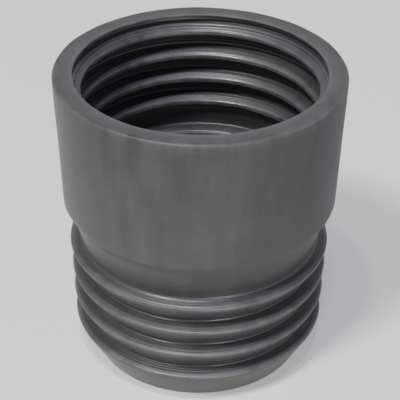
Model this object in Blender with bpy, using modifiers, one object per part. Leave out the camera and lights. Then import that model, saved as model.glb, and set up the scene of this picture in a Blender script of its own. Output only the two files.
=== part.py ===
"""Rubber pipe reducer, moulded in one piece.

The upper half is a push-fit socket: four sealing lips inside it lean down and inwards, so that
a pipe slides in easily and is gripped when it is pulled. Below it a neck narrows to a spigot
with four saw-tooth barbs and a tapered nose. The whole section is one closed outline, turned
about the axis. The origin is the middle of the nose's end face, and +Z runs up the axis to the
mouth of the socket. All lengths are in metres.
"""

import math

import bpy

# Socket: the outer wall
RIM_OUTER_RADIUS = 0.0290
RIM_OUTER_ROUND = 0.0006
BODY_BASE_RADIUS = 0.02823
BODY_BASE_BEVEL = 0.0006
BODY_BASE_ROUND = 0.0010

# Socket: the mouth and the sealing lips, whose depths are measured down from the rim
MOUTH_RADIUS = 0.0251
MOUTH_LAND = 0.0005
MOUTH_ROUND = 0.0003
GROOVE_RADIUS = 0.0265
LIP_COUNT = 4
LIP_TIP_RADIUS = 0.02355
LIP_TIP_HEIGHT = 0.0009
LIP_LOWER_ROUND = 0.0001
LIP_UPPER_ROUND = 0.00045
LIP_TOP_FALL = 0.0015
LIP_UNDERCUT = 0.0003
FIRST_LIP_DEPTH = 0.00415
LIP_PITCH = 0.00564

# Socket: the plain seat that the pipe's end reaches, and the shoulder that stops it
SEAT_RADIUS = 0.0254
SEAT_LENGTH = 0.0059
SEAT_ROUND = 0.0005
SHOULDER_INNER_RADIUS = 0.0223
SHOULDER_EDGE_ROUND = 0.0006
SHOULDER_ABOVE_BODY_BASE = 0.0018

# Neck and spigot
NECK_LENGTH = 0.0089
NECK_TOP_RADIUS = 0.0271
NECK_TOP_ROUND = 0.0003
NECK_RADIUS = 0.0248
NECK_ROUND = 0.0008
BARB_COUNT = 4
BARB_PITCH = 0.0060
BARB_EDGE_RADIUS = 0.0276
BARB_TAPER = 0.00016
BARB_EDGE_ROUND = 0.0005
BARB_ROOT_RADIUS = 0.0241
BARB_ROOT_ROUND = 0.0004
BARB_TOP_FALL = 0.0008
NOSE_LENGTH = 0.0077
NOSE_END_RADIUS = 0.0231
NOSE_END_ROUND = 0.0004

# Bore through the spigot
BORE_RADIUS = 0.0200
BORE_END_ROUND = 0.0003
BORE_TAPER_LENGTH = 0.0045
BORE_TAPER_ROUND = 0.0020

# Facets
TURN_STEPS = 60
ROUND_STEP = math.radians(55)
SHARP_ANGLE = math.radians(30)
MERGE_DISTANCE = 0.00001
LARGEST_SHARE_OF_SIDE = 0.45
SHARP = 0.0

# Heights above the nose's end face
BARBS_LENGTH = BARB_TOP_FALL + (BARB_COUNT - 1) * BARB_PITCH
BARBS_TOP = NOSE_LENGTH + BARBS_LENGTH
BODY_BASE = BARBS_TOP + NECK_LENGTH
SHOULDER = BODY_BASE + SHOULDER_ABOVE_BODY_BASE
LAST_LIP = SHOULDER + SEAT_LENGTH
FIRST_LIP = LAST_LIP + (LIP_COUNT - 1) * LIP_PITCH
RIM_TOP = FIRST_LIP + FIRST_LIP_DEPTH

# Finish
RUBBER_COLOUR = (0.045, 0.047, 0.050, 1.0)
RUBBER_ROUGHNESS = 0.52


def clear_scene():
    """Remove every object that the file holds."""
    for obj in list(bpy.data.objects):
        bpy.data.objects.remove(obj, do_unlink=True)


def make_collection(name):
    """Return a new collection linked to the scene."""
    collection = bpy.data.collections.new(name)
    bpy.context.scene.collection.children.link(collection)
    return collection


def rubber_material():
    """Return the black moulded rubber, dull with a faint blue cast."""
    material = bpy.data.materials.new("moulded_rubber")
    material.use_nodes = True
    shader = material.node_tree.nodes["Principled BSDF"]
    shader.inputs["Base Color"].default_value = RUBBER_COLOUR
    shader.inputs["Roughness"].default_value = RUBBER_ROUGHNESS
    shader.inputs["Metallic"].default_value = 0.0
    return material


def socket_outside():
    """Return the corners of the outer wall, down from the rim, as (radius, height, round)."""
    return [
        (RIM_OUTER_RADIUS, RIM_TOP, RIM_OUTER_ROUND),
        (BODY_BASE_RADIUS, BODY_BASE + BODY_BASE_BEVEL, BODY_BASE_ROUND),
        (NECK_TOP_RADIUS, BODY_BASE, NECK_TOP_ROUND),
    ]


def barbed_spigot():
    """Return the corners of the neck, the barbs and the nose, downwards.

    Each barb has a nearly flat top that falls outwards to its edge, and a flank that narrows
    downwards to the root of the next. The barbs get a little smaller downwards. The nose is
    the last barb's flank carried on.
    """
    corners = [(NECK_RADIUS, BARBS_TOP, NECK_ROUND)]
    for index in range(BARB_COUNT):
        edge = BARBS_TOP - BARB_TOP_FALL - index * BARB_PITCH
        if index > 0:
            corners.append((BARB_ROOT_RADIUS, edge + BARB_TOP_FALL, BARB_ROOT_ROUND))
        corners.append((BARB_EDGE_RADIUS - index * BARB_TAPER, edge, BARB_EDGE_ROUND))
    corners.append((NOSE_END_RADIUS, 0.0, NOSE_END_ROUND))
    return corners


def bore_and_shoulder():
    """Return the corners of the bore, upwards, and of the shoulder at the socket's bottom."""
    return [
        (BORE_RADIUS, 0.0, BORE_END_ROUND),
        (BORE_RADIUS, SHOULDER - BORE_TAPER_LENGTH, BORE_TAPER_ROUND),
        (SHOULDER_INNER_RADIUS, SHOULDER, SHOULDER_EDGE_ROUND),
        (SEAT_RADIUS, SHOULDER, SEAT_ROUND),
    ]


def sealing_lips():
    """Return the corners of the lips, upwards, and of the mouth.

    Each lip has an undercut lower face, a short upright tip and a top face that falls inwards.
    """
    corners = []
    for index in range(LIP_COUNT):
        tip_base = LAST_LIP + index * LIP_PITCH
        tip_top = tip_base + LIP_TIP_HEIGHT
        wall_radius = SEAT_RADIUS if index == 0 else GROOVE_RADIUS
        corners.append((wall_radius, tip_base + LIP_UNDERCUT, SHARP))
        corners.append((LIP_TIP_RADIUS, tip_base, LIP_LOWER_ROUND))
        corners.append((LIP_TIP_RADIUS, tip_top, LIP_UPPER_ROUND))
        corners.append((GROOVE_RADIUS, tip_top + LIP_TOP_FALL, SHARP))
    corners.append((GROOVE_RADIUS, RIM_TOP - MOUTH_LAND, SHARP))
    corners.append((MOUTH_RADIUS, RIM_TOP - MOUTH_LAND, SHARP))
    corners.append((MOUTH_RADIUS, RIM_TOP, MOUTH_ROUND))
    return corners


def unit(vector_x, vector_z):
    """Return the direction of a flat vector, and its length."""
    length = math.hypot(vector_x, vector_z)
    return vector_x / length, vector_z / length, length


def corner_arc(before, corner, after):
    """Return the points of the arc that rounds one corner.

    The arc touches both sides at its radius divided by the tangent of half the corner's
    angle, and its middle lies on the line that halves the angle. A round that is too large
    for its sides is made as large as they allow.
    """
    to_before_x, to_before_z, before_length = unit(before[0] - corner[0], before[1] - corner[1])
    to_after_x, to_after_z, after_length = unit(after[0] - corner[0], after[1] - corner[1])
    cosine = to_before_x * to_after_x + to_before_z * to_after_z
    half_angle = math.acos(max(-1.0, min(1.0, cosine))) / 2
    longest_setback = LARGEST_SHARE_OF_SIDE * min(before_length, after_length)
    radius = min(corner[2], longest_setback * math.tan(half_angle))
    if radius <= MERGE_DISTANCE:
        return [(corner[0], corner[1])]

    setback = radius / math.tan(half_angle)
    start_x = corner[0] + to_before_x * setback
    start_z = corner[1] + to_before_z * setback
    middle_x, middle_z, _ = unit(to_before_x + to_after_x, to_before_z + to_after_z)
    centre_x = corner[0] + middle_x * radius / math.sin(half_angle)
    centre_z = corner[1] + middle_z * radius / math.sin(half_angle)

    turn = math.pi - 2 * half_angle
    side = to_before_x * to_after_z - to_before_z * to_after_x
    turn_sign = -1.0 if side > 0 else 1.0
    first_angle = math.atan2(start_z - centre_z, start_x - centre_x)
    count = max(1, math.ceil(turn / ROUND_STEP))
    points = []
    for step in range(count + 1):
        angle = first_angle + turn_sign * turn * step / count
        points.append((centre_x + radius * math.cos(angle), centre_z + radius * math.sin(angle)))
    return points


def rounded_outline(corners):
    """Return the points of a closed outline with each of its corners rounded."""
    points = []
    for index, corner in enumerate(corners):
        before = corners[index - 1]
        after = corners[(index + 1) % len(corners)]
        points.extend(corner_arc(before, corner, after))
    return points


def turned_mesh(name, outline, collection):
    """Return the mesh of a closed outline carried once round the Z axis."""
    profile = bpy.data.meshes.new(name + "_profile")
    vertices = [(radius, 0.0, height) for radius, height in outline]
    edges = [(index, (index + 1) % len(outline)) for index in range(len(outline))]
    profile.from_pydata(vertices, edges, [])
    turned = bpy.data.objects.new(name + "_profile", profile)
    collection.objects.link(turned)

    screw = turned.modifiers.new("Turn", "SCREW")
    screw.axis = "Z"
    screw.angle = math.tau
    screw.steps = TURN_STEPS
    screw.render_steps = TURN_STEPS
    screw.use_merge_vertices = True
    screw.merge_threshold = MERGE_DISTANCE

    depsgraph = bpy.context.evaluated_depsgraph_get()
    mesh = bpy.data.meshes.new_from_object(turned.evaluated_get(depsgraph))
    mesh.name = name
    bpy.data.objects.remove(turned, do_unlink=True)
    bpy.data.meshes.remove(profile)
    return mesh


def build_reducer(collection):
    """Model the reducer: one outline for the socket, the spigot and the way through."""
    corners = socket_outside() + barbed_spigot() + bore_and_shoulder() + sealing_lips()
    mesh = turned_mesh("rubber_reducer", rounded_outline(corners), collection)
    mesh.shade_smooth()
    mesh.set_sharp_from_angle(angle=SHARP_ANGLE)
    mesh.materials.append(rubber_material())
    reducer = bpy.data.objects.new("rubber_reducer", mesh)
    collection.objects.link(reducer)
    return reducer


def main():
    """Build the part."""
    clear_scene()
    build_reducer(make_collection("rubber_pipe_reducer"))


main()
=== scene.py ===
"""Rubber pipe reducer: the finished surface of a moulded rubber fitting, and a plain studio.

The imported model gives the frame. One piece stands for its solid: a finely turned surface with
the same section, every corner rounded as a mould rounds it, and a rubber finish.
All lengths are in metres unless a name says otherwise.
"""

import math

import bpy
import numpy as np
from bpy.props import (
    BoolProperty, FloatProperty, FloatVectorProperty, IntProperty, PointerProperty)
from mathutils import Matrix, Vector


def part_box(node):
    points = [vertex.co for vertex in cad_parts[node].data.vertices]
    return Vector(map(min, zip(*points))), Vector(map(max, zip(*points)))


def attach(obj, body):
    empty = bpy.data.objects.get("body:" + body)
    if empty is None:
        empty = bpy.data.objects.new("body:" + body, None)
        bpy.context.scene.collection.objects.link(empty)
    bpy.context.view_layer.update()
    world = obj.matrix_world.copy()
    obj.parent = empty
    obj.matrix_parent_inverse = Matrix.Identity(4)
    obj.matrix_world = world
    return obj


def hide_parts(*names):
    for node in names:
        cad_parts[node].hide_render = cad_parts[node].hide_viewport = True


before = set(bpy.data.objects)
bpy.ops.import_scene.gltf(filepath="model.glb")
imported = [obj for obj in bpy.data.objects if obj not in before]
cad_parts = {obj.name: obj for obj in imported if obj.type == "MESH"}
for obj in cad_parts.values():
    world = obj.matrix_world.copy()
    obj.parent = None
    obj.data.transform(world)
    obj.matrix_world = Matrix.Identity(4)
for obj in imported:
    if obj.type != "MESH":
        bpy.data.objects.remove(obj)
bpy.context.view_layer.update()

bl_info = {
    "name": "Rubber Pipe Reducer",
    "version": (1, 0, 0),
    "blender": (4, 5, 0),
    "location": "View3D > Sidebar > Reducer",
    "description": "Moulds a rubber pipe reducer round its packed solid and sets a plain studio",
    "category": "Object",
}

NODE = "rubber_reducer"
BODY = "root"
RIM_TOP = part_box(NODE)[1].z

# Painted shading and clean at each corner of the section. The first runs from -1, a painted
# shade that darkens the grooves and hollows, to 1, where the rubber is painted pale: partly
# dust, partly painted light, as bounce light under the socket and on the nose and as painted
# highlights along the edges. Clean is 0 under the grey film and 1 in the socket.
MARKS = {
    "rim": (0.2, 0.0),
    "body base": (0.4, 0.0),
    "neck top": (0.55, 0.0),
    "neck foot": (-0.2, 0.6),
    "barb root": (-0.35, 0.6),
    "barb edge": (0.25, 0.6),
    "nose end": (1.0, 0.0),
    "bore end": (0.0, 1.0),
    "bore widening": (-0.3, 1.0),
    "shoulder edge": (0.0, 0.4),
    "seat foot": (-0.6, 0.4),
    "under a lip": (-1.0, 1.0),
    "lip tip": (0.0, 1.0),
    "lip root": (-0.3, 1.0),
    "under the rim": (-1.0, 1.0),
    "mouth lower edge": (-0.4, 1.0),
    "mouth": (0.5, 0.0),
}

# The section: how its corners are rounded, and how it is measured before its rings are placed.
# Bends are taken over the span, and one as large as the full edge bend counts as a whole edge.
LARGEST_SHARE_OF_SIDE = 0.45
ARC_POINTS = 16
MEASURED_POINTS = 8192
BEND_SPAN = 0.0003
FULL_EDGE_BEND = math.radians(50)

# Waves of shrinkage, each as whole numbers of waves round the axis and along the section. They
# grow from none at the end face to their full height at the height given.
SHRINKAGE_WAVES = ((2, 1), (3, 3), (5, 4), (7, 9), (11, 6), (16, 14))
SHRINKAGE_SEED = 11
FULL_WAVES_HEIGHT = 0.002

# Lamps: the main one high at the left, a small cool one and a small warm one high in front, and
# a low fill. Each has its name, its azimuth from the front and its elevation in degrees, its
# distance, its width, its brightness and its colour.
LAMPS = (
    ("main", -43, 56, 2.0, 0.40, 0.64, "#fffefa"),
    ("front", -4, 71, 2.0, 0.16, 0.36, "#cfe2ff"),
    ("warm", -32, 71, 2.0, 0.12, 0.20, "#ffe9c6"),
    ("fill", 20, 3, 2.0, 0.40, 0.36, "#fffaf4"),
)

# The floor, with the distances from the axis between which its shading fades out
FLOOR_RADIUS = 3.0
FLOOR_POINTS = 96
FLOOR_ROUGHNESS = 0.9
SHADING_FADE_START = 0.15
SHADING_FADE_END = 1.0

# The room's darkening overhead, between two heights of a direction whose length is 1
ROOM_PALE_UP_TO = 0.30
ROOM_DARK_FROM = 0.75

# The camera: its sensor's width in millimetres, and the nearest distance that it sees
SENSOR_WIDTH = 36.0
CLIP_START = 0.01


def linear(hex_colour):
    """Turn an sRGB hex colour into linear red, green, blue and alpha."""
    parts = np.array([int(hex_colour[at:at + 2], 16) for at in (1, 3, 5)]) / 255
    low = parts / 12.92
    high = ((parts + 0.055) / 1.055) ** 2.4
    return (*np.where(parts <= 0.04045, low, high).tolist(), 1.0)


def length(name, description, default):
    """Return a property that holds a length in metres."""
    return FloatProperty(name=name, description=description, default=default, min=0.0,
                         precision=5, subtype="DISTANCE", unit="LENGTH")


def colour(name, description, hex_colour):
    """Return a property that holds a colour, given as an sRGB hex value."""
    return FloatVectorProperty(name=name, description=description, default=linear(hex_colour),
                               size=4, min=0.0, max=1.0, subtype="COLOR")


def share(name, description, default):
    """Return a property that holds a share from 0 to 1."""
    return FloatProperty(name=name, description=description, default=default, min=0.0, max=1.0,
                         subtype="FACTOR")


def level(name, description, default):
    """Return a property that holds a plain number of 0 or more."""
    return FloatProperty(name=name, description=description, default=default, min=0.0)


class SocketSizes(bpy.types.PropertyGroup):
    """The push-fit socket, with depths measured down from the rim."""

    rim_radius: length("Rim radius", "Outer radius at the rim", 0.0290)
    rim_round: length("Rim round", "Round on the rim's outer edge", 0.0006)
    base_radius: length("Base radius", "Outer radius at the socket's lower edge", 0.02823)
    base_bevel: length("Base bevel", "Height of the bevel on the socket's lower edge", 0.0006)
    base_round: length("Base round", "Round where the wall meets that bevel", 0.0010)
    mouth_radius: length("Mouth radius", "Radius of the opening in the rim", 0.0251)
    mouth_land: length("Mouth land", "Height of the rim's thin inner edge", 0.0005)
    mouth_round: length("Mouth round", "Round on the mouth's upper edge", 0.0003)
    groove_radius: length("Groove radius", "Radius of the wall between the lips", 0.0265)
    lip_count: IntProperty(name="Lips", description="Number of sealing lips", default=4, min=1)
    lip_tip_radius: length("Lip tip radius", "Radius inside the lips", 0.02355)
    lip_tip_height: length("Lip tip height", "Upright height of a lip's tip", 0.0009)
    lip_lower_round: length("Lip lower round", "Round on a tip's lower edge", 0.0001)
    lip_upper_round: length("Lip upper round", "Round on a tip's upper edge", 0.00045)
    lip_fall: length("Lip fall", "Fall of a lip's top face towards its tip", 0.0015)
    lip_undercut: length("Lip undercut", "Rise of a lip's lower face towards the wall", 0.0003)
    first_lip_depth: length("First lip depth", "Depth of the first tip's lower edge", 0.00415)
    lip_pitch: length("Lip pitch", "Distance from lip to lip", 0.00564)
    seat_radius: length("Seat radius", "Radius of the plain wall below the lips", 0.0254)
    seat_length: length("Seat length", "Height of that wall", 0.0059)
    seat_round: length("Seat round", "Round between the wall and the shoulder", 0.0005)
    shoulder_radius: length("Shoulder radius", "Inner radius of the shoulder", 0.0223)
    shoulder_round: length("Shoulder round", "Round on the shoulder's inner edge", 0.0006)


class SpigotSizes(bpy.types.PropertyGroup):
    """The neck, the barbed spigot and the bore, with heights measured up from the end."""

    neck_length: length("Neck length", "Height of the neck", 0.0089)
    neck_top_radius: length("Neck top radius", "Radius where the neck leaves the socket", 0.0271)
    neck_top_round: length("Neck top round", "Hollow round there", 0.0003)
    neck_radius: length("Neck radius", "Radius where the neck meets the first barb", 0.0248)
    neck_round: length("Neck round", "Hollow round above the first barb", 0.0008)
    barb_count: IntProperty(name="Barbs", description="Number of barbs", default=4, min=1)
    barb_pitch: length("Barb pitch", "Distance from barb to barb", 0.0060)
    barb_radius: length("Barb radius", "Radius of the first barb's edge", 0.0276)
    barb_taper: length("Barb taper", "How much smaller each barb is than the last", 0.00016)
    barb_round: length("Barb round", "Round on a barb's edge", 0.0005)
    root_radius: length("Root radius", "Radius between two barbs", 0.0241)
    root_round: length("Root round", "Hollow round between two barbs", 0.0004)
    barb_fall: length("Barb fall", "Fall of a barb's top face towards its edge", 0.0008)
    nose_length: length("Nose length", "Height of the nose below the last barb's edge", 0.0077)
    nose_radius: length("Nose radius", "Outer radius of the end face", 0.0231)
    nose_round: length("Nose round", "Round on the end face's outer edge", 0.0004)
    bore_radius: length("Bore radius", "Radius of the way through", 0.0200)
    bore_round: length("Bore round", "Round on the bore's lower edge", 0.0003)
    bore_taper: length("Bore taper", "Height of the bore's widening below the shoulder", 0.0045)
    bore_taper_round: length("Bore taper round", "Round where the widening starts", 0.0020)


class SurfaceDetail(bpy.types.PropertyGroup):
    """How finely the surface is laid, and how far rubber strays from a perfect turning."""

    rings: IntProperty(name="Rings", description="Points round the section", default=200, min=40)
    steps: IntProperty(name="Steps", description="Points round the axis", default=496, min=24)
    ring_spacing: length("Ring spacing", "Widest gap between rings on a straight side", 0.0024)
    smallest_round: length("Smallest round", "Round left where the section is sharp", 0.0001)
    wall_waviness: length("Wall waviness", "Height of the waves left by shrinkage", 0.00003)


class RubberFinish(bpy.types.PropertyGroup):
    """Colours and texture of black rubber as it comes from the mould."""

    rubber: colour("Rubber", "Black rubber outside, where the film is thin", "#323233")
    bloom: colour("Bloom", "Grey film of wax that creeps out of the rubber", "#4b4b4b")
    # Paler outward edges: partly rubbing, partly a painted highlight along them.
    worn_and_painted_highlight: colour("Worn edge", "Edges rubbed pale", "#6a6b6b")
    # Pale colour that is partly dust and partly painted light: bounce light on the nose, the neck
    # and the socket's lower edge, and painted highlights along the edges.
    dust_and_painted_light: colour("Dust", "Dusty rubber, palest on the nose and under the socket", "#757574")
    lips: colour("Lips", "Clean rubber inside the socket", "#33363a")
    # A painted shade: near-black colour in the grooves and hollows, where shade falls.
    painted_groove_shade: colour("Groove", "Rubber in the grooves, which no hand reaches", "#1c1d1f")
    refraction: level("Refraction", "Index of refraction of EPDM rubber", 1.52)
    smooth_roughness: share("Smooth roughness", "Roughness of clean rubber", 0.46)
    bloom_roughness: share("Bloom roughness", "Roughness under the film", 0.58)
    wall_gloss: share("Wall gloss", "Specular level of the filmed rubber outside", 0.5)
    lip_gloss: share("Lip gloss", "Specular level of the clean rubber inside", 1.0)
    wax: share("Wax", "Weight of the thin wax left on the lips by the mould", 0.75)
    wax_roughness: share("Wax roughness", "Roughness of that wax", 0.27)
    film_sheen: share("Film sheen", "How much the film glows where it is seen edge on", 0.20)
    sheen_roughness: share("Sheen roughness", "How far that glow spreads", 0.4)
    bloom_width: length("Bloom width", "Width of a patch of bloom", 0.0090)
    streak_width: length("Streak width", "Width of a streak in the bloom", 0.0030)
    streak_stretch: share("Streak stretch", "A streak's width as a share of its height", 0.22)
    film_start: level("Film start", "Sum of patch and streak at which the film begins", 0.80)
    film_full: level("Film full", "Sum at which the film is full", 1.20)
    grain_width: length("Grain width", "Width of the mould's grain, drawn coarse", 0.00035)
    grain_height: length("Grain height", "Height of that grain", 0.00003)
    grain_strength: share("Grain strength", "How strongly the grain shows", 0.5)
    line_width: length("Line width", "Spacing of the mould's turning lines", 0.00045)
    line_height: length("Line height", "Height of those lines, drawn coarse", 0.00011)
    wall_lines: share("Lines outside", "How strongly the lines show under the film", 0.15)
    lip_lines: share("Lines inside", "How strongly the lines show on clean rubber", 1.0)
    line_contrast: share("Line contrast", "How much those lines change the roughness", 0.12)


class StudioSetup(bpy.types.PropertyGroup):
    """The floor, the light from all round and the camera."""

    floor: colour("Floor", "Colour in which the floor shows", "#d1cec8")
    board: colour("Board", "White of the board, as it lights the rubber at the left", "#e4e2df")
    # The far board's grey is a painted shade: the light the board throws at the right is darkened
    # in its colour, as if the board were lit from the left.
    board_painted_shade: colour("Far board", "Grey of the board, as it does at the right", "#55565a")
    painted_shade_fade: length("Board fade", "Distance from the axis at which each is reached", 0.06)
    air: colour("Air", "Colour of the light from all round", "#bcd6f6")
    background: colour("Background", "Colour seen behind the floor, near the horizon", "#cccccc")
    ceiling: colour("Ceiling", "Colour seen overhead, past the lamps", "#3a3c3e")
    floor_evenness: share("Floor evenness", "Share of the floor that shows without shading", 0.6)
    world_light: level("World light", "Level of the light from all round", 0.11)
    focal_length: FloatProperty(name="Focal length", description="Camera lens", default=105.38,
                                min=1.0, subtype="DISTANCE_CAMERA", unit="CAMERA")
    camera_place: FloatVectorProperty(name="Camera place", description="From the rim's centre",
                                      default=(0.000160, -0.204479, 0.106343), size=3,
                                      precision=6, subtype="TRANSLATION", unit="LENGTH")
    camera_elevation: FloatProperty(name="Camera elevation", description="Angle looked down at",
                                    default=math.radians(33.87), subtype="ANGLE", unit="ROTATION")
    camera_roll: FloatProperty(name="Camera roll", description="Turn about the line of sight",
                               default=math.radians(0.58), subtype="ANGLE", unit="ROTATION")
    show_lamps: BoolProperty(name="Lamps", description="Add the lamps", default=True)


def marked(radius, height, rounding, place):
    """Return a corner of the section: radius, height, round, painted shading and clean."""
    return (radius, height, rounding, *MARKS[place])


def barbs_top(spigot):
    """Return the height of the first barb's top face."""
    return spigot.nose_length + spigot.barb_fall + (spigot.barb_count - 1) * spigot.barb_pitch


def socket_corners(socket, spigot):
    """Return the corners of the socket's outside, downwards."""
    base = barbs_top(spigot) + spigot.neck_length
    return [
        marked(socket.rim_radius, RIM_TOP, socket.rim_round, "rim"),
        marked(socket.base_radius, base + socket.base_bevel, socket.base_round, "body base"),
        marked(spigot.neck_top_radius, base, spigot.neck_top_round, "neck top"),
    ]


def spigot_corners(spigot):
    """Return the corners of the neck, the barbs and the nose, downwards."""
    top = barbs_top(spigot)
    corners = [marked(spigot.neck_radius, top, spigot.neck_round, "neck foot")]
    for index in range(spigot.barb_count):
        edge = top - spigot.barb_fall - index * spigot.barb_pitch
        if index > 0:
            root = edge + spigot.barb_fall
            corners.append(marked(spigot.root_radius, root, spigot.root_round, "barb root"))
        edge_radius = spigot.barb_radius - index * spigot.barb_taper
        corners.append(marked(edge_radius, edge, spigot.barb_round, "barb edge"))
    corners.append(marked(spigot.nose_radius, 0.0, spigot.nose_round, "nose end"))
    return corners


def bore_corners(socket, spigot, shoulder):
    """Return the corners of the bore, upwards, and of the shoulder."""
    widening = shoulder - spigot.bore_taper
    return [
        marked(spigot.bore_radius, 0.0, spigot.bore_round, "bore end"),
        marked(spigot.bore_radius, widening, spigot.bore_taper_round, "bore widening"),
        marked(socket.shoulder_radius, shoulder, socket.shoulder_round, "shoulder edge"),
        marked(socket.seat_radius, shoulder, socket.seat_round, "seat foot"),
    ]


def lip_corners(socket, last_lip):
    """Return the corners of the sealing lips, upwards, and of the mouth."""
    corners = []
    for index in range(socket.lip_count):
        tip_base = last_lip + index * socket.lip_pitch
        tip_top = tip_base + socket.lip_tip_height
        wall = socket.seat_radius if index == 0 else socket.groove_radius
        corners += [
            marked(wall, tip_base + socket.lip_undercut, 0.0, "under a lip"),
            marked(socket.lip_tip_radius, tip_base, socket.lip_lower_round, "lip tip"),
            marked(socket.lip_tip_radius, tip_top, socket.lip_upper_round, "lip tip"),
            marked(socket.groove_radius, tip_top + socket.lip_fall, 0.0, "lip root"),
        ]
    under_rim = RIM_TOP - socket.mouth_land
    corners += [
        marked(socket.groove_radius, under_rim, 0.0, "under the rim"),
        marked(socket.mouth_radius, under_rim, 0.0, "mouth lower edge"),
        marked(socket.mouth_radius, RIM_TOP, socket.mouth_round, "mouth"),
    ]
    return corners


def section_corners(socket, spigot):
    """Return every corner of the closed section, down the outside and up the inside.

    A corner is a row of radius, height, round, painted shading and clean.
    """
    first_lip = RIM_TOP - socket.first_lip_depth
    last_lip = first_lip - (socket.lip_count - 1) * socket.lip_pitch
    shoulder = last_lip - socket.seat_length
    outside = socket_corners(socket, spigot) + spigot_corners(spigot)
    inside = bore_corners(socket, spigot, shoulder) + lip_corners(socket, last_lip)
    return np.array(outside + inside)


def rounded_section(corners, smallest_round):
    """Return the section as dense rows of radius, height, painted shading and clean.

    Each corner becomes an arc that touches both its sides. The arc meets them at its radius
    divided by the tangent of half the corner's angle, and is turned through the half circle
    less that angle.
    """
    place = corners[:, :2]
    to_before = np.roll(place, 1, axis=0) - place
    to_after = np.roll(place, -1, axis=0) - place
    before_length = np.linalg.norm(to_before, axis=1)
    after_length = np.linalg.norm(to_after, axis=1)
    to_before /= before_length[:, None]
    to_after /= after_length[:, None]
    half_angle = np.arccos(np.clip((to_before * to_after).sum(1), -1, 1)) / 2
    longest_setback = LARGEST_SHARE_OF_SIDE * np.minimum(before_length, after_length)
    wanted = np.maximum(corners[:, 2], smallest_round)
    radius = np.minimum(wanted, longest_setback * np.tan(half_angle))

    start = place + to_before * (radius / np.tan(half_angle))[:, None]
    middle = to_before + to_after
    middle /= np.linalg.norm(middle, axis=1)[:, None]
    centre = place + middle * (radius / np.sin(half_angle))[:, None]
    side = to_before[:, 0] * to_after[:, 1] - to_before[:, 1] * to_after[:, 0]
    turn = np.where(side > 0, -1.0, 1.0) * (math.pi - 2 * half_angle)
    first_angle = np.arctan2(start[:, 1] - centre[:, 1], start[:, 0] - centre[:, 0])
    angle = first_angle[:, None] + turn[:, None] * np.linspace(0, 1, ARC_POINTS)[None, :]
    radii = centre[:, 0, None] + radius[:, None] * np.cos(angle)
    heights = centre[:, 1, None] + radius[:, None] * np.sin(angle)
    marks = np.repeat(corners[:, 3:], ARC_POINTS, axis=0)
    return np.column_stack([radii.ravel(), heights.ravel(), marks])


def smoothed(values, width):
    """Return the running mean of values that go round a closed line."""
    kernel = np.ones(width) / width
    padded = np.concatenate([values[-width:], values, values[:width]])
    return np.convolve(padded, kernel, mode="same")[width:-width]


def ring_places(section, detail):
    """Return a row for each ring: radius, height, painted shading, clean, edge, distance along.

    Rings are spaced evenly in a sum of two measures: the distance along the section and the
    angle that it turns through. So they crowd where it bends and thin out where it is straight.
    Edge is how sharply the section bends outwards there, from 0 to 1.
    """
    closed = np.vstack([section, section[:1]])
    along = np.concatenate([[0], np.cumsum(np.hypot(*np.diff(closed[:, :2], axis=0).T))])
    total = along[-1]
    count = MEASURED_POINTS
    even = np.arange(count) * total / count
    columns = [np.interp(even, along, closed[:, column]) for column in range(4)]
    step = np.stack([np.roll(columns[0], -1) - columns[0], np.roll(columns[1], -1) - columns[1]])
    heading = np.arctan2(step[1], step[0])
    bend = (np.roll(heading, -1) - heading + math.pi) % (2 * math.pi) - math.pi
    spread = max(3, int(BEND_SPAN / (total / count)) | 1)
    turning = smoothed(np.abs(bend), spread)

    even_share = total / count / detail.ring_spacing
    turn_share = (detail.rings - even_share * count) / turning.sum()
    density = even_share + turning * turn_share
    grown = np.concatenate([[0], np.cumsum(density)])
    at = np.interp(np.arange(detail.rings) * grown[-1] / detail.rings, grown, np.arange(count + 1))
    outward = smoothed(np.clip(-bend, 0, None), spread)
    edge = np.clip(outward / (FULL_EDGE_BEND / spread), 0, 1)
    rows = [np.interp(at, np.arange(count + 1), np.append(c, c[0])) for c in (*columns, edge)]
    return np.stack([*rows, at * total / count], axis=1), total


def waviness(angle, along, total, height):
    """Return how far the surface stands out of a true turning.

    A sum of cosines, each of a whole number of waves round the axis and along the section, so
    that the surface closes on itself both ways.
    """
    rng = np.random.default_rng(SHRINKAGE_SEED)
    waves = np.zeros(np.broadcast(angle, along).shape)
    for round_waves, along_waves in SHRINKAGE_WAVES:
        phase = rng.uniform(0, 2 * math.pi)
        waves += np.cos(round_waves * angle + along_waves * 2 * math.pi * along / total + phase)
    return height * waves / math.sqrt(len(SHRINKAGE_WAVES))


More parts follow.
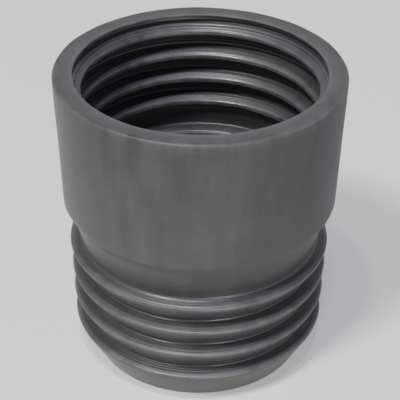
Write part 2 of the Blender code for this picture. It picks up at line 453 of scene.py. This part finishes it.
def turned_mesh(name, rings, total, detail):
    """Return the mesh of the section carried once round the axis.

    A point is its ring's radius times the cosine and sine of the angle, at the ring's height,
    moved along the section's normal by the waviness. The end face stays flat.
    """
    radius, height, painted_shading_and_dust, clean, edge, along = rings.T
    angle = np.arange(detail.steps) * 2 * math.pi / detail.steps
    run = np.roll(radius, -1) - np.roll(radius, 1)
    rise = np.roll(height, -1) - np.roll(height, 1)
    chord = np.hypot(run, rise)
    stray = waviness(angle[None, :], along[:, None], total, detail.wall_waviness)
    stray *= np.clip(height / FULL_WAVES_HEIGHT, 0, 1)[:, None]
    radii = radius[:, None] - (rise / chord)[:, None] * stray
    heights = height[:, None] + (run / chord)[:, None] * stray
    points = np.stack([radii * np.cos(angle), radii * np.sin(angle), heights], axis=2)

    ring = np.arange(detail.rings)[:, None]
    turn = np.arange(detail.steps)[None, :]
    next_ring = (ring + 1) % detail.rings
    next_turn = (turn + 1) % detail.steps
    corner_ring = [ring, next_ring, next_ring, ring]
    corner_turn = [turn, turn, next_turn, next_turn]
    quads = [np.broadcast_to(r * detail.steps + t, (detail.rings, detail.steps)).ravel()
             for r, t in zip(corner_ring, corner_turn)]
    mesh = bpy.data.meshes.new(name)
    mesh.from_pydata(points.reshape(-1, 3), [], np.stack(quads, axis=1))

    past_end = np.append(along, total)
    lengths = [past_end[ring], past_end[ring + 1], past_end[ring + 1], past_end[ring]]
    turns = [turn, turn, turn + 1, turn + 1]
    shape = (detail.rings, detail.steps)
    u = np.stack([np.broadcast_to(t / detail.steps, shape).ravel() for t in turns], axis=1)
    v = np.stack([np.broadcast_to(d, shape).ravel() for d in lengths], axis=1)
    section_map = mesh.uv_layers.new(name="section")
    section_map.uv.foreach_set("vector", np.stack([u, v], axis=2).ravel().astype(np.float32))
    for attribute_name, values in (("painted_shading_and_dust", painted_shading_and_dust), ("clean", clean), ("edge", edge)):
        attribute = mesh.attributes.new(attribute_name, "FLOAT", "POINT")
        attribute.data.foreach_set("value", np.repeat(values, detail.steps).astype(np.float32))
    mesh.shade_smooth()
    return mesh


def add_node(tree, kind, settings=None, **links):
    """Add a shader node with its settings and links.

    A setting is a socket's value, given by the socket's name, or else a value of the node
    itself. A link is named for its socket, with underscores for spaces, and is the socket
    that feeds it.
    """
    node = tree.nodes.new(kind)
    for name, value in (settings or {}).items():
        if isinstance(name, int) or name in node.inputs:
            node.inputs[name].default_value = value
        else:
            setattr(node, name, value)
    for name, source in links.items():
        key = int(name[1:]) if name[0] == "_" else name.replace("_", " ")
        tree.links.new(source, node.inputs[key])
    return node


def moulded_rubber(finish):
    """Return the finish of EPDM rubber as it leaves a steel mould.

    It is carbon black in a dull skin. Outside the eye sees a dark grey, clouded and streaked by
    a film of wax that creeps out, and paler where it is dusty or rubbed. Part of that paleness is
    painted light: bounce light painted on the nose, the neck and the socket's lower edge, and
    painted highlights along outward edges. Inside it sees clean, slightly glossy black, with the
    fine lines that the turned mould left. In the grooves and hollows a painted shade makes it
    near-black.
    """
    material = bpy.data.materials.new("moulded_epdm_rubber")
    material.use_nodes = True
    tree = material.node_tree
    tree.nodes.clear()
    place = add_node(tree, "ShaderNodeTexCoord").outputs["Object"]
    section = add_node(tree, "ShaderNodeUVMap", {"uv_map": "section"}).outputs["UV"]
    along = add_node(tree, "ShaderNodeSeparateXYZ", _0=section).outputs["Y"]
    painted_shading_and_dust = add_node(tree, "ShaderNodeAttribute", {"attribute_name": "painted_shading_and_dust"}).outputs["Fac"]
    edge = add_node(tree, "ShaderNodeAttribute", {"attribute_name": "edge"}).outputs["Fac"]
    clean = add_node(tree, "ShaderNodeAttribute", {"attribute_name": "clean"}).outputs["Fac"]

    # The film: soft patches and upright streaks, which also set where worn edges and their painted
    # highlight show
    streak_place = add_node(tree, "ShaderNodeMapping", {
        "Scale": (1.0, 1.0, finish.streak_stretch)}, Vector=place)
    bloom = add_node(tree, "ShaderNodeTexNoise", {
        "Scale": 1 / finish.bloom_width, "Detail": 5.0, "Roughness": 0.55}, Vector=place)
    streaks = add_node(tree, "ShaderNodeTexNoise", {
        "Scale": 1 / finish.streak_width, "Detail": 3.0}, Vector=streak_place.outputs[0])
    cloud = add_node(tree, "ShaderNodeMath", {"operation": "ADD"},
                     _0=bloom.outputs["Fac"], _1=streaks.outputs["Fac"])
    film = add_node(tree, "ShaderNodeMapRange", {
        "From Min": finish.film_start, "From Max": finish.film_full}, Value=cloud.outputs[0])

    # The colour: film, then clean rubber, dust with painted light, painted groove shade, and worn
    # edges with a painted highlight over it
    bloomed = add_node(tree, "ShaderNodeMix", {
        "data_type": "RGBA", 6: finish.rubber, 7: finish.bloom}, _0=film.outputs[0])
    sheltered = add_node(tree, "ShaderNodeMix", {
        "data_type": "RGBA", 7: finish.lips}, _0=clean, _6=bloomed.outputs[2])
    # Below 0 the painted shading darkens grooves and hollows as painted shade; above 0 it paints
    # the rubber pale, partly as dust and partly as painted light.
    groove_shade_mask = add_node(tree, "ShaderNodeMapRange", {"From Min": 0.0, "From Max": -1.0}, Value=painted_shading_and_dust)
    dust_and_painted_light = add_node(tree, "ShaderNodeMapRange", {"From Min": 0.0, "From Max": 1.0}, Value=painted_shading_and_dust)
    with_dust_and_painted_light = add_node(tree, "ShaderNodeMix", {
        "data_type": "RGBA", 7: finish.dust_and_painted_light}, _0=dust_and_painted_light.outputs[0], _6=sheltered.outputs[2])
    with_painted_groove_shade = add_node(tree, "ShaderNodeMix", {
        "data_type": "RGBA", 7: finish.painted_groove_shade}, _0=groove_shade_mask.outputs[0], _6=with_dust_and_painted_light.outputs[2])
    # Outward edges under the film are paler, partly as rubbing and partly as a painted highlight.
    wear_and_highlight_mask = add_node(tree, "ShaderNodeMath", {"operation": "MULTIPLY"},
                    _0=edge, _1=film.outputs[0])
    worn_and_painted_highlight = add_node(tree, "ShaderNodeMix", {
        "data_type": "RGBA", 7: finish.worn_and_painted_highlight}, _0=wear_and_highlight_mask.outputs[0], _6=with_painted_groove_shade.outputs[2])

    # The roughness and the relief: turning lines, then the mould's grain
    filmed = add_node(tree, "ShaderNodeMapRange", {
        "To Min": finish.smooth_roughness, "To Max": finish.bloom_roughness},
        Value=film.outputs[0])
    line_count = add_node(tree, "ShaderNodeMath", {
        "operation": "MULTIPLY", 1: 1 / finish.line_width}, _0=along)
    lines = add_node(tree, "ShaderNodeTexNoise", {
        "noise_dimensions": "1D", "Scale": 1.0, "Detail": 2.0}, W=line_count.outputs[0])
    line_depth = add_node(tree, "ShaderNodeMapRange", {
        "From Min": 0.35, "From Max": 0.65, "To Min": -finish.line_contrast,
        "To Max": finish.line_contrast}, Value=lines.outputs["Fac"])
    roughness = add_node(tree, "ShaderNodeMath", {"operation": "MULTIPLY_ADD"},
                         _0=line_depth.outputs[0], _1=clean, _2=filmed.outputs[0])
    wax_roughness = add_node(tree, "ShaderNodeMath", {
        "operation": "ADD", 1: finish.wax_roughness}, _0=line_depth.outputs[0])
    grain = add_node(tree, "ShaderNodeTexNoise", {
        "Scale": 1 / finish.grain_width, "Detail": 2.0}, Vector=place)
    line_strength = add_node(tree, "ShaderNodeMapRange", {
        "To Min": finish.wall_lines, "To Max": finish.lip_lines}, Value=clean)
    lined = add_node(tree, "ShaderNodeBump", {"Distance": finish.line_height},
                     Strength=line_strength.outputs[0], Height=lines.outputs["Fac"])
    grained = add_node(tree, "ShaderNodeBump", {
        "Strength": finish.grain_strength, "Distance": finish.grain_height},
        Height=grain.outputs["Fac"], Normal=lined.outputs[0])

    # The gloss: a thin wax on clean rubber, and a faint glow on the film
    wax = add_node(tree, "ShaderNodeMath", {
        "operation": "MULTIPLY", 1: finish.wax}, _0=clean)
    gloss = add_node(tree, "ShaderNodeMapRange", {
        "To Min": finish.wall_gloss, "To Max": finish.lip_gloss}, Value=clean)
    sheen = add_node(tree, "ShaderNodeMapRange", {
        "To Min": finish.film_sheen, "To Max": 0.0}, Value=clean)
    shader = add_node(
        tree, "ShaderNodeBsdfPrincipled",
        {"IOR": finish.refraction, "Sheen Roughness": finish.sheen_roughness},
        Base_Color=worn_and_painted_highlight.outputs[2], Roughness=roughness.outputs[0], Normal=grained.outputs[0],
        Specular_IOR_Level=gloss.outputs[0], Sheen_Weight=sheen.outputs[0],
        Coat_Weight=wax.outputs[0], Coat_Roughness=wax_roughness.outputs[0],
        Coat_Normal=lined.outputs[0])
    add_node(tree, "ShaderNodeOutputMaterial", Surface=shader.outputs[0])
    return material


def seen_directly(tree):
    """Return a socket that is 1 for what the camera sees, also in gloss and through glass."""
    rays = add_node(tree, "ShaderNodeLightPath").outputs
    seen = add_node(tree, "ShaderNodeMath", {"operation": "MAXIMUM"},
                    _0=rays["Is Camera Ray"], _1=rays["Is Glossy Ray"])
    shown = add_node(tree, "ShaderNodeMath", {"operation": "MAXIMUM"},
                     _0=seen.outputs[0], _1=rays["Is Transmission Ray"])
    return shown.outputs[0]


def pale_floor(studio):
    """Return a matt white board, which the eye sees in the background's pale grey.

    It keeps the reducer's shadow and has no gloss. It throws light up under the barbs. For that
    light its colour fades from white at the left to dark grey at the right: a painted shade that
    stands in for a board lit from the left. Further out it runs into the background without an
    edge.
    """
    material = bpy.data.materials.new("white_matt_board")
    material.use_nodes = True
    tree = material.node_tree
    shader = tree.nodes["Principled BSDF"]
    shown = seen_directly(tree)
    place = add_node(tree, "ShaderNodeTexCoord").outputs["Object"]
    # Painted shade: the colour of the light thrown by the board fades to dark grey towards the
    # right.
    across = add_node(tree, "ShaderNodeSeparateXYZ", _0=place).outputs["X"]
    painted_shade_share = add_node(tree, "ShaderNodeMapRange", {
        "From Min": -studio.painted_shade_fade, "From Max": studio.painted_shade_fade}, Value=across)
    board_with_painted_shade = add_node(tree, "ShaderNodeMix", {
        "data_type": "RGBA", 6: studio.board, 7: studio.board_painted_shade}, _0=painted_shade_share.outputs[0])
    board = add_node(tree, "ShaderNodeMix", {
        "data_type": "RGBA", 7: studio.floor}, _0=shown, _6=board_with_painted_shade.outputs[2])
    tree.links.new(board.outputs[2], shader.inputs["Base Color"])
    shader.inputs["Roughness"].default_value = FLOOR_ROUGHNESS
    shader.inputs["Specular IOR Level"].default_value = 0.0
    away = add_node(tree, "ShaderNodeVectorMath", {"operation": "LENGTH"}, _0=place)
    plainness = add_node(tree, "ShaderNodeMapRange", {
        "From Min": SHADING_FADE_START, "From Max": SHADING_FADE_END,
        "To Min": studio.floor_evenness, "To Max": 1.0,
        "interpolation_type": "SMOOTHSTEP"}, Value=away.outputs["Value"])
    evenness = add_node(tree, "ShaderNodeMath", {"operation": "MULTIPLY"},
                        _0=shown, _1=plainness.outputs[0])
    paper = add_node(tree, "ShaderNodeEmission", {"Color": studio.background, "Strength": 1.0})
    mixed = add_node(tree, "ShaderNodeMixShader", _0=evenness.outputs[0],
                     _1=shader.outputs[0], _2=paper.outputs[0])
    tree.links.new(mixed.outputs[0], tree.nodes["Material Output"].inputs["Surface"])
    return material


def studio_world(studio):
    """Return the world: a plain light, and a painted room where the camera or gloss looks.

    The room is pale up to a low height and darkens to the ceiling, as a studio does past its
    backdrop, so that gloss has something dark to show between the lamps.
    """
    world = bpy.data.worlds.new("plain_studio")
    world.use_nodes = True
    tree = world.node_tree
    tree.nodes.clear()
    shown = seen_directly(tree)
    light = add_node(tree, "ShaderNodeBackground", {
        "Color": studio.air, "Strength": studio.world_light})
    direction = add_node(tree, "ShaderNodeTexCoord").outputs["Generated"]
    height = add_node(tree, "ShaderNodeSeparateXYZ", _0=direction).outputs["Z"]
    overhead = add_node(tree, "ShaderNodeMapRange", {
        "From Min": ROOM_PALE_UP_TO, "From Max": ROOM_DARK_FROM,
        "interpolation_type": "SMOOTHSTEP"}, Value=height)
    room = add_node(tree, "ShaderNodeMix", {
        "data_type": "RGBA", 6: studio.background, 7: studio.ceiling}, _0=overhead.outputs[0])
    picture = add_node(tree, "ShaderNodeBackground", {"Strength": 1.0}, Color=room.outputs[2])
    mixed = add_node(tree, "ShaderNodeMixShader", _0=shown, _1=light.outputs[0],
                     _2=picture.outputs[0])
    add_node(tree, "ShaderNodeOutputWorld", Surface=mixed.outputs[0])
    return world


def add_lamp(name, azimuth, elevation, distance, width, brightness, hex_colour, aim):
    """Add a round soft box that faces the point aim.

    Brightness is what it gives a white surface that faces it. Its power is that times the
    square of the distance times the square of pi.
    """
    data = bpy.data.lights.new(name, "AREA")
    data.shape = "DISK"
    data.size = width
    data.energy = brightness * math.pi ** 2 * distance ** 2
    data.color = linear(hex_colour)[:3]
    lamp = bpy.data.objects.new(name, data)
    bpy.context.scene.collection.objects.link(lamp)
    turn, rise = math.radians(azimuth), math.radians(elevation)
    back = Vector((
        math.sin(turn) * math.cos(rise), -math.cos(turn) * math.cos(rise), math.sin(rise)))
    lamp.location = aim + back * distance
    lamp.rotation_mode = "QUATERNION"
    lamp.rotation_quaternion = (-back).to_track_quat("-Z", "Y")
    return lamp


class REDUCER_OT_mould(bpy.types.Operator):
    """Turn the reducer's section about its axis and give it its rubber finish"""

    bl_idname = "reducer.mould"
    bl_label = "Mould the Reducer"

    def execute(self, context):
        scene = context.scene
        corners = section_corners(scene.reducer_socket, scene.reducer_spigot)
        section = rounded_section(corners, scene.reducer_detail.smallest_round)
        rings, total = ring_places(section, scene.reducer_detail)
        mesh = turned_mesh("moulded_reducer", rings, total, scene.reducer_detail)
        mesh.materials.append(moulded_rubber(scene.reducer_finish))
        piece = bpy.data.objects.new("moulded_reducer", mesh)
        scene.collection.objects.link(piece)
        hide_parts(NODE)
        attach(piece, BODY)
        return {"FINISHED"}


class REDUCER_OT_stage(bpy.types.Operator):
    """Lay the floor, hang the soft lamps and place the camera as in the photograph"""

    bl_idname = "reducer.stage"
    bl_label = "Set the Stage"

    def execute(self, context):
        scene = context.scene
        studio = scene.reducer_studio
        scene.view_settings.view_transform = "Standard"
        scene.world = studio_world(studio)
        self.lay_floor(scene, studio)
        rim_centre = Vector((0.0, 0.0, RIM_TOP))
        if studio.show_lamps:
            for lamp in LAMPS:
                add_lamp(*lamp, rim_centre)
        self.place_camera(scene, studio, rim_centre)
        return {"FINISHED"}

    def lay_floor(self, scene, studio):
        """Lay a round floor under the reducer, at the height that it stands on."""
        angle = np.linspace(0, 2 * math.pi, FLOOR_POINTS, endpoint=False)
        edge = FLOOR_RADIUS * np.stack([np.cos(angle), np.sin(angle), 0 * angle], axis=1)
        mesh = bpy.data.meshes.new("floor")
        mesh.from_pydata(edge, [], [list(range(FLOOR_POINTS))])
        mesh.materials.append(pale_floor(studio))
        floor = bpy.data.objects.new("floor", mesh)
        scene.collection.objects.link(floor)

    def place_camera(self, scene, studio, rim_centre):
        """Place the camera by its offset from the rim's centre, looking down along +Y."""
        data = bpy.data.cameras.new("photo_camera")
        data.lens = studio.focal_length
        data.sensor_width = SENSOR_WIDTH
        data.clip_start = CLIP_START
        camera = bpy.data.objects.new("photo_camera", data)
        scene.collection.objects.link(camera)
        place = Matrix.Translation(rim_centre + Vector(studio.camera_place))
        down = Matrix.Rotation(math.pi / 2 - studio.camera_elevation, 4, "X")
        roll = Matrix.Rotation(studio.camera_roll, 4, "Z")
        camera.matrix_world = place @ down @ roll
        scene.camera = camera


class REDUCER_PT_panel(bpy.types.Panel):
    """The reducer's sizes, finish and stage"""

    bl_label = "Rubber Pipe Reducer"
    bl_idname = "REDUCER_PT_panel"
    bl_space_type = "VIEW_3D"
    bl_region_type = "UI"
    bl_category = "Reducer"

    def draw(self, context):
        layout = self.layout
        for title, name in SETTINGS.items():
            layout.label(text=title)
            group = getattr(context.scene, name)
            for key in group.__annotations__:
                layout.prop(group, key)
        layout.operator(REDUCER_OT_mould.bl_idname)
        layout.operator(REDUCER_OT_stage.bl_idname)


SETTINGS = {
    "Socket": "reducer_socket",
    "Spigot": "reducer_spigot",
    "Surface": "reducer_detail",
    "Finish": "reducer_finish",
    "Studio": "reducer_studio",
}
GROUPS = (SocketSizes, SpigotSizes, SurfaceDetail, RubberFinish, StudioSetup)
CLASSES = (*GROUPS, REDUCER_OT_mould, REDUCER_OT_stage, REDUCER_PT_panel)


def register():
    """Register the classes and hang the settings on the scene."""
    for cls in CLASSES:
        bpy.utils.register_class(cls)
    for group, name in zip(GROUPS, SETTINGS.values()):
        setattr(bpy.types.Scene, name, PointerProperty(type=group))


def unregister():
    """Take the settings off the scene and unregister the classes."""
    for name in SETTINGS.values():
        delattr(bpy.types.Scene, name)
    for cls in reversed(CLASSES):
        bpy.utils.unregister_class(cls)


def main():
    """Build the piece and the stage."""
    register()
    bpy.ops.reducer.mould()
    bpy.ops.reducer.stage()


if __name__ == "__main__":
    main()
